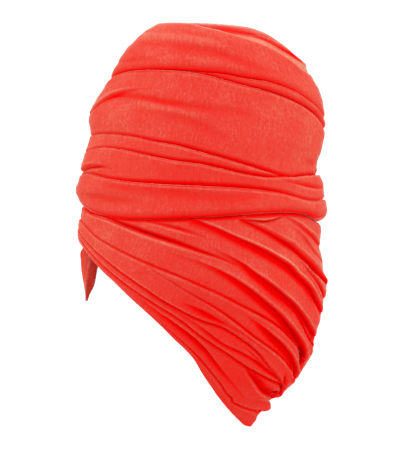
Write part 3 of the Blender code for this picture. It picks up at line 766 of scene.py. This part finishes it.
def wrinkles(turn, across, seed, size):
    """Fine wrinkles that run along the folds: waves that are short across them and long around the head."""
    chance = np.random.default_rng(seed)
    total = np.zeros(np.shape(turn))
    for _ in range(WRINKLE_WAVES):
        length = chance.uniform(*WRINKLE_LENGTHS)
        slant = chance.integers(*WRINKLE_SLANTS)
        phase = chance.uniform(0, 2 * math.pi)
        wander = chance.uniform(*WRINKLE_WANDERS)
        wander = wander * np.sin(chance.integers(*WRINKLE_BENDS) * turn + chance.uniform(0, ANY_PHASE))
        total += np.sin(2 * math.pi * across / length + slant * turn + phase + wander)
    patches = chance.integers(*WRINKLE_PATCHES) * turn + 2 * math.pi * across / WRINKLE_PATCH_LENGTH
    comes = 0.5 + 0.5 * np.sin(patches + chance.uniform(0, ANY_PHASE))
    return size * total / math.sqrt(WRINKLE_WAVES) * (WRINKLE_LEAST + (1 - WRINKLE_LEAST) * comes)


def far_side(points):
    """Moves points on the wearer's right up or down a little, so that the two sides differ."""
    points = np.array(points, float)
    share = smoothstep((-points[..., 0] - FAR_SHIFT_FROM) / FAR_SHIFT_FADE)
    wave = np.sin(2 * math.pi * (points[..., 1] + FAR_SHIFT_SLANT * points[..., 2]) / FAR_SHIFT_LENGTH)
    below_crown = smoothstep((CROWN_TOP - FAR_SHIFT_DROP - points[..., 2]) / FAR_SHIFT_RUN)
    points[..., 2] += FAR_SHIFT * share * wave * below_crown
    return points


def both_sides(grid, span, mirrored=np.asarray):
    """Joins numbers on the wearer's left to their mirror image. span is ring, back or front."""
    if span == "front":
        return np.concatenate([mirrored(grid[:, ::-1]), grid[:, 1:]], axis=1)
    front = 0 if span == "ring" else None
    return np.concatenate([grid, mirrored(grid[:, -2:front:-1])], axis=1)


def turns_round(turn, span):
    """The turn angles of both_sides, which go on round the wearer's right."""
    middle = 0.0 if span == "front" else math.pi
    return both_sides(turn, span, lambda left: 2 * middle - left)


def lengths_down(grid):
    """How far each point of a grid lies down its column."""
    steps = np.linalg.norm(np.diff(grid, axis=0), axis=2)
    return np.concatenate([np.zeros((1, grid.shape[1])), np.cumsum(steps, axis=0)])


def loop_of(outer, inner, every):
    """Rows of the outer face, then every so many rows of the inner one, back to the top."""
    back = list(range(len(outer) - 1, 0, -every)) + [0]
    return np.concatenate([outer, inner[back]], axis=0)


def place(name, data):
    """A new object in the scene."""
    made = bpy.data.objects.new(name, data)
    bpy.context.scene.collection.objects.link(made)
    return made


def cloth_piece(node, loop, closed, tone):
    """A closed piece from a loop of rows: the outer face first, then the inner one back to the start. closed
    is true where its columns run right round, and tone is the painted shade and highlight of the outer face."""
    rows, columns = loop.shape[:2]
    row, column = np.meshgrid(np.arange(rows), np.arange(columns if closed else columns - 1), indexing="ij")
    corner_rows = row.reshape(-1, 1) + (0, 1, 1, 0)
    corner_columns = column.reshape(-1, 1) + (0, 0, 1, 1)
    faces = (corner_rows % rows * columns + corner_columns % columns).tolist()
    if not closed:
        first_end = list(range(0, rows * columns, columns))
        faces.append(first_end[::-1])
        faces.append([point + columns - 1 for point in first_end])
    name = node + "_cloth"
    mesh = bpy.data.meshes.new(name)
    mesh.from_pydata((loop.reshape(-1, 3) * MM).tolist(), [], faces)
    middle = loop[len(tone) // 2]
    steps = np.linalg.norm(np.diff(middle, axis=0, append=middle[:1]), axis=1)
    over = np.concatenate([[0.0], np.cumsum(steps)]) * MM
    down = lengths_down(loop) * MM
    down = np.concatenate([down, down[-1:]], axis=0)
    down = np.concatenate([down, down[:, :1]], axis=1)
    on_cloth = np.zeros((len(mesh.loops), 2))
    on_cloth[: corner_rows.size, 0] = over[corner_columns].ravel()
    on_cloth[: corner_rows.size, 1] = down[corner_rows, corner_columns].ravel()
    mesh.uv_layers.new(name="cloth").data.foreach_set("uv", on_cloth.ravel())
    shade = np.full((rows, columns), INSIDE_TONE)
    shade[: len(tone)] = tone
    # The outer face's painted shade and highlights, kept as a point attribute
    mesh.attributes.new("painted_fold_shading", "FLOAT", "POINT").data.foreach_set("value", shade.ravel())
    mesh.shade_smooth()
    return place(name, mesh)


def cap_lift(turn, sunk):
    """How far out the crown cap's face is from the form: level above the rim, and sunk under the turns."""
    below_rim = turn_up("crown_rim", turn) + CAP_DIVE_UP - (CROWN_TOP - sunk * sunk)
    return -CAP_SUNK * smoothstep(below_rim / CAP_DIVE)


def cap_painted_light(turn, sunk):
    """The painted light and shade that the cap has above the rim, besides the painted shading of its folds.
    """
    above_rim = CROWN_TOP - sunk * sunk - turn_up("crown_rim", turn)
    back = form_point(turn, sunk)[..., 1]
    strip_top = STRIP_HEIGHT * smoothstep((back - STRIP_FROM) / STRIP_RUN)
    strip = smoothstep((strip_top - above_rim) / STRIP_EDGE + 0.5) * smoothstep(strip_top / STRIP_FULL)
    band = bell(above_rim - strip_top - BAND_UP, BAND_WIDTH) * smoothstep(back / BAND_RUN)
    shade = bell(above_rim, RIM_SHADE_WIDTH) * smoothstep(1 - back / BAND_RUN)
    return STRIP_PAINTED_LIGHT * strip - BAND_PAINTED_SHADE * band - RIM_SHADE * shade


def crown_cap():
    """The cloth over the top of the head. Its first row lies on one point, the pole."""
    turns = np.linspace(0.0, math.pi, RING_COLUMNS + 1)
    low = sink(turn_up("brow_lower", turns) + CAP_EDGE_UP)
    close = sink(np.minimum(turn_up("crown_rim", turns) - CAP_CLOSE_BELOW, CROWN_TOP - CAP_POLE_DROP))
    rows = [close * share for share in np.linspace(0.0, 1.0, CAP_CLOSE_ROWS + 1)[1:]]
    rows += [close + (low - close) * share for share in np.linspace(0.0, 1.0, CAP_LOW_ROWS + 1)[1:]]
    sunk = np.array(rows)
    turn = np.broadcast_to(turns, sunk.shape)
    folds, tone = relief(turn, sunk, CAP_FOLDS)
    fade = smoothstep(sunk / CAP_FOLDS_SINK)
    # The cap's painted shading: that of its folds, with the painted strip of light and painted shade above
    # the rim
    tone = both_sides((tone + cap_painted_light(turn, sunk)) * fade, "ring")
    lift = both_sides(cap_lift(turn, sunk) + folds * fade, "ring")
    turn = turns_round(turn, "ring")
    sunk = both_sides(sunk, "ring")
    lift = lift + wrinkles(turn, sunk * sunk, CAP_SEED, CAP_WRINKLES) * smoothstep(sunk / CAP_WRINKLES_SINK)
    faces = []
    for wall in (0.0, CAP_WALL):
        grid = lifted(turn, sunk, lift - wall)
        pole = np.broadcast_to(form_point(0.0, 0.0) - [0.0, 0.0, wall], grid[:1].shape)
        faces.append(np.concatenate([pole, grid]))
    tone = np.concatenate([np.zeros_like(tone[:1]), tone])
    made = cloth_piece("crown_cap", far_side(loop_of(*faces, CAP_INNER_STEP)), True, tone)
    weld(made)
    return made


def weld(made):
    """Joins points that lie on one another, as at the pole of the crown."""
    bpy.context.view_layer.objects.active = made
    joiner = made.modifiers.new("join", "WELD")
    joiner.merge_threshold = WELD_DISTANCE
    bpy.ops.object.modifier_apply(modifier="join")


def row_shares(upper, lower, step):
    """The shares of the way between two lines of heights at which rows lie, closer together at the edges."""
    count = max(FEWEST_ROWS, int(np.abs(upper - lower).max() / step))
    t = np.linspace(0.0, 1.0, count + 1)
    return t - ROWS_TO_EDGES * np.sin(2 * math.pi * t) / (2 * math.pi)


def crescent_tip(wound):
    """The turn angle of a crescent's tip, where the gap between its lines is nearest to CRESCENT_TIP."""
    turns = np.linspace(*wound.tip_between, TIP_STEPS)
    gap = turn_up(wound.top[0], turns) - turn_up(wound.bottom, turns)
    return turns[np.abs(gap - CRESCENT_TIP).argmin()]


def wound_turn(wound):
    """A turn of cloth wound over the cap, from its row in TURNS."""
    start = crescent_tip(wound) if wound.span == "back" else 0.0
    end = crescent_tip(wound) if wound.span == "front" else math.pi
    turns = np.linspace(start, end, int(RING_COLUMNS * (end - start) / math.pi) + 1)
    upper = np.min([turn_up(name, turns) for name in wound.top], axis=0) - EDGE_GAP
    lower = turn_up(wound.bottom, turns) + EDGE_GAP
    up = upper + (lower - upper) * row_shares(upper, lower, wound.step)[:, None]
    sunk = sink(up)
    turn = np.broadcast_to(turns, sunk.shape)
    across = upper - up
    under = cap_lift(turn, sunk) + TURN_GAP
    over, tone = relief(turn, sunk, (*wound.top, wound.bottom, *wound.folds))
    if wound.rim:
        rounded = 0.5 * np.clip(1 - across / RIM_ROUND, 0.0, 1.0) ** 2
        over = over + wound.rim * (np.clip(1 - across / RIM_REACH, 0.0, 1.0) - rounded)
        # A painted highlight along the proud rim
        tone = tone + RIM_PAINTED_HIGHLIGHT * bell(across, RIM_ROUND)
    fade = np.broadcast_to(np.clip((upper - lower) / NARROW_TURN, 1 / NARROW_TURN, 1.0), sunk.shape)
    over, under, tone, fade, across, sunk = (
        both_sides(grid, wound.span) for grid in (over, under, tone, fade, across, sunk)
    )
    turn = turns_round(turn, wound.span)
    over = over + wrinkles(turn, across, wound.seed, TURN_WRINKLES) * fade
    over = np.maximum(over, under + TURN_WALL)
    loop = loop_of(lifted(turn, sunk, over), lifted(turn, sunk, under), TURN_INNER_STEP)
    return cloth_piece(wound.node, far_side(loop), wound.span == "ring", tone)


def sheet_rows(guides):
    """The turns and sinks of rows from one guide line to the next, at most DRAPE_STEP apart."""
    rows = []
    for first, second in zip(guides, guides[1:]):
        gap = np.linalg.norm(form_point(*first) - form_point(*second), axis=1).max()
        count = max(2, math.ceil(gap / DRAPE_STEP))
        rows += [first + (second - first) * share for share in np.arange(count) / count]
    rows.append(guides[-1])
    return np.stack(rows, axis=1)


def hung_sheet(node, guides, creases, tucked, seed):
    """A pleated sheet along its guide lines. Its rows above the second guide run in under the piece above, at
    the depth tucked."""
    turn, sunk = sheet_rows(guides)
    lift, tone = relief(turn, sunk, creases)
    # Painted shade, deeper toward the nape
    low = smoothstep((sunk * sunk - CROWN_TOP - LOW_TONE_FROM) / LOW_TONE_RUN)
    tone = tone - LOW_PAINTED_SHADE * low * (1 + tone)
    covered = sunk < guides[1][1] + TINY
    lift = np.where(covered, -tucked, np.maximum(lift, -tucked))
    across = lengths_down(form_point(turn, sunk))
    lift, tone, across, sunk = (both_sides(grid, "ring") for grid in (lift, tone, across, sunk))
    turn = turns_round(turn, "ring")
    lift = lift + wrinkles(turn, across, seed, DRAPE_WRINKLES) * smoothstep(across / DRAPE_WRINKLES_FROM)
    outer = lifted(turn, sunk, lift)
    inner = lifted(turn, sunk, np.minimum(lift - DRAPE_LEAST_WALL, -DRAPE_WALL))
    return cloth_piece(node, far_side(loop_of(outer, inner, DRAPE_INNER_STEP)), True, tone)


def drape_guide(number):
    """A guide line of the drape, as an array of its turns and its sinks, held below the brow folds."""
    turn, sunk = spline(DRAPE_GUIDES[number], DRAPE_COLUMNS + 1, GUIDE_SNAP)
    highest = turn_up("brow_lower", turn) - BELOW_BROW - number * BELOW_BROW_STEP
    return np.array([turn, np.maximum(sunk, sink(highest))])


def nape_drape():
    """The pleated drape from under the brow folds to the hem band."""
    turns = np.linspace(0.0, math.pi, DRAPE_COLUMNS + 1)
    guides = [np.array([turns, sink(turn_up("brow_lower", turns) + rise)]) for rise in (DRAPE_TOP_UP, 0.0)]
    guides += [drape_guide(number) for number in range(HEM_BAND_FROM + 1)]
    return hung_sheet("nape_drape", guides, DRAPE_CREASES, DRAPE_TUCKED, DRAPE_SEED)


def hem_band():
    """The narrow folds along the hem, whose upper edge runs in under the drape."""
    turn, sunk = drape_guide(HEM_BAND_FROM)
    up = CROWN_TOP - sunk * sunk
    guides = [np.array([turn, sink(up + rise)]) for rise in (HEM_BAND_UP, 0.0, -HEM_BAND_GAP)]
    guides += [drape_guide(number) for number in range(HEM_BAND_FROM + 1, len(DRAPE_GUIDES))]
    return hung_sheet("hem_band", guides, HEM_CREASES, HEM_BAND_TUCKED, HEM_BAND_SEED)


def loose_end():
    """The free corner of the cloth: two narrow panels that meet at a crease and run out in a point."""
    upward = LOOSE_END[::-1]
    levels = [row.up for row in upward]
    ups = np.linspace(levels[-1], levels[0], LOOSE_END_ROWS)

    def read(field):
        return hermite(ups, levels, [getattr(row, field) for row in upward])

    edges = [
        np.stack([-read(out), read(back), ups], axis=1)
        for out, back in (("front_out", "front_edge"), ("crease_out", "crease"), ("back_out", "back_edge"))
    ]
    columns = []
    for first, second in zip(edges, edges[1:]):
        for share in np.arange(PANEL_COLUMNS) / PANEL_COLUMNS:
            bow = (LOOSE_END_BOW * math.sin(math.pi * share), 0.0, 0.0)
            columns.append(first + (second - first) * share + bow)
    outer = np.stack([*columns, edges[-1]], axis=1)
    inner = outer + np.array(LOOSE_END_INWARD) * LOOSE_END_WALL
    from_crease = np.linspace(-1.0, 1.0, outer.shape[1])
    # A painted highlight along the crease
    tone = np.broadcast_to(LOOSE_END_PAINTED_HIGHLIGHT * bell(from_crease, LOOSE_END_CREST), outer.shape[:2])
    return cloth_piece("loose_end", loop_of(outer, inner, LOOSE_END_INNER_STEP), False, tone)


def add_node(tree, kind, inputs=(), **settings):
    """A shader node. Each input is a number, a row of numbers or another node's output."""
    made = tree.nodes.new(kind)
    for name, value in settings.items():
        setattr(made, name, value)
    for name, value in dict(inputs).items():
        if isinstance(value, bpy.types.NodeSocket):
            tree.links.new(value, made.inputs[name])
        else:
            made.inputs[name].default_value = value
    return made


def arithmetic(tree, operation, *values):
    return add_node(tree, "ShaderNodeMath", enumerate(values), operation=operation).outputs["Value"]


def remap(tree, value, old, new, curve="LINEAR"):
    """A value taken from one range to another."""
    inputs = {"Value": value, "From Min": old[0], "From Max": old[1], "To Min": new[0], "To Max": new[1]}
    return add_node(tree, "ShaderNodeMapRange", inputs, interpolation_type=curve).outputs["Result"]


def noise(tree, on_cloth, grain):
    """Noise that is stretched to the size of a grain."""
    scale = (1 / grain.across, 1 / grain.down, 1.0)
    scaled = add_node(tree, "ShaderNodeMapping", {"Vector": on_cloth, "Scale": scale}).outputs["Vector"]
    inputs = {"Vector": scaled, "Scale": 1.0, "Detail": grain.detail, "Roughness": grain.roughness}
    return add_node(tree, "ShaderNodeTexNoise", inputs).outputs["Fac"]


def material(name, surface):
    """A material and its shader, with the values that are the same all over the surface."""
    made = bpy.data.materials.new(name)
    made.use_nodes = True
    shader = made.node_tree.nodes["Principled BSDF"]
    for socket, value in surface.items():
        shader.inputs[socket].default_value = value
    return made, shader


def jersey():
    """Fine coral jersey: vertical knit streaks in colour and relief, a soft fuzz at grazing angles, and a
    base colour that carries the painted shade and highlights of the folds.
    """
    cloth, shader = material("coral_jersey", JERSEY_SURFACE)
    tree = cloth.node_tree
    on_cloth = add_node(tree, "ShaderNodeUVMap", uv_map="cloth").outputs["UV"]
    streaks, slubs, patches = (noise(tree, on_cloth, grain) for grain in (STREAKS, SLUBS, PATCHES))
    knit = arithmetic(tree, "MULTIPLY_ADD", streaks, 0.5, arithmetic(tree, "MULTIPLY", slubs, 0.5))

    # The painted shade and highlights of the folds, read from the mesh
    folds = add_node(tree, "ShaderNodeAttribute", attribute_name="painted_fold_shading").outputs["Fac"]
    streaky = remap(tree, knit, NOISE_RANGE, (-STREAK_TONE, STREAK_TONE))
    cloudy = remap(tree, patches, NOISE_RANGE, (-PATCH_TONE, PATCH_TONE))
    calm = remap(tree, folds, CALM_FOLDS, CALM_SHARES)
    tone = arithmetic(tree, "MULTIPLY_ADD", arithmetic(tree, "ADD", streaky, cloudy), calm, folds)
    colours = add_node(tree, "ShaderNodeValToRGB", {"Fac": remap(tree, tone, (-1.0, 1.0), (0.0, 1.0))})
    stops = colours.color_ramp.elements
    for position, _ in SHADE_TO_HIGHLIGHT_COLOURS[1:-1]:
        stops.new(position)
    for stop, (_, colour) in zip(stops, SHADE_TO_HIGHLIGHT_COLOURS):
        stop.color = (*colour, 1.0)
    tree.links.new(colours.outputs["Color"], shader.inputs["Base Color"])

    inputs = {"Height": knit, "Strength": BUMP_STRENGTH, "Distance": BUMP_DISTANCE}
    bump = add_node(tree, "ShaderNodeBump", inputs)
    tree.links.new(bump.outputs["Normal"], shader.inputs["Normal"])
    return cloth


def camera():
    """The camera on the wearer's left, far off, with a long lens."""
    data = bpy.data.cameras.new("camera")
    data.sensor_fit = "HORIZONTAL"
    data.sensor_width = CAMERA_SENSOR
    data.lens = CAMERA_LENS
    data.clip_start, data.clip_end = CAMERA_CLIP
    made = place("camera", data)
    made.location = CAMERA_PLACE
    made.rotation_euler = (math.radians(90), 0.0, math.radians(90))
    bpy.context.scene.camera = made


def area_light(lamp):
    """A round soft light that faces the origin."""
    data = bpy.data.lights.new(lamp.name, "AREA")
    data.shape = "DISK"
    data.size = lamp.size
    data.energy = lamp.power
    data.color = lamp.colour
    made = place(lamp.name, data)
    made.location = lamp.place
    made.rotation_euler = (-Vector(lamp.place)).to_track_quat("-Z", "Y").to_euler()


def studio_dome():
    """An even white light from all sides, a little brighter above, and dimmer in front, behind and below."""
    world = bpy.data.worlds.new("studio")
    world.use_nodes = True
    tree = world.node_tree
    generated = add_node(tree, "ShaderNodeTexCoord").outputs["Generated"]
    direction = add_node(tree, "ShaderNodeSeparateXYZ", {"Vector": generated}).outputs
    above = remap(tree, direction["Z"], DOME_RISE, (DOME_LEVEL, DOME_ABOVE), "SMOOTHSTEP")
    below = remap(tree, direction["Z"], DOME_FALL, (DOME_BELOW, 1.0), "SMOOTHSTEP")
    lengthways = arithmetic(tree, "MULTIPLY", direction["Y"], direction["Y"])
    sides = remap(tree, lengthways, (0.0, 1.0), (1.0, DOME_SIDES))
    strength = arithmetic(tree, "MULTIPLY", arithmetic(tree, "MULTIPLY", above, below), sides)
    background = tree.nodes["Background"]
    background.inputs["Color"].default_value = WHITE
    tree.links.new(strength, background.inputs["Strength"])
    bpy.context.scene.world = world


def floor():
    """A pale square floor below the lowest tip."""
    mesh = bpy.data.meshes.new("floor")
    corners = ((-1, -1), (1, -1), (1, 1), (-1, 1))
    mesh.from_pydata([(x * FLOOR_HALF, y * FLOOR_HALF, FLOOR_UP) for x, y in corners], [], [(0, 1, 2, 3)])
    paint, _ = material("floor_paint", FLOOR_SURFACE)
    mesh.materials.append(paint)
    place("floor", mesh)


def stage():
    """The light, the floor and plain colour handling."""
    studio_dome()
    view = bpy.context.scene.view_settings
    view.view_transform = "Standard"
    view.look = "None"
    view.exposure = 0.0
    for lamp in LAMPS:
        area_light(lamp)
    floor()


def main():
    camera()
    stage()
    pieces = {"crown_cap": crown_cap()}
    for wound in TURNS:
        pieces[wound.node] = wound_turn(wound)
    pieces["nape_drape"] = nape_drape()
    pieces["hem_band"] = hem_band()
    pieces["loose_end"] = loose_end()
    cloth = jersey()
    for node, piece in pieces.items():
        piece.data.materials.append(cloth)
        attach(piece, "root")
        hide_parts(node)


main()
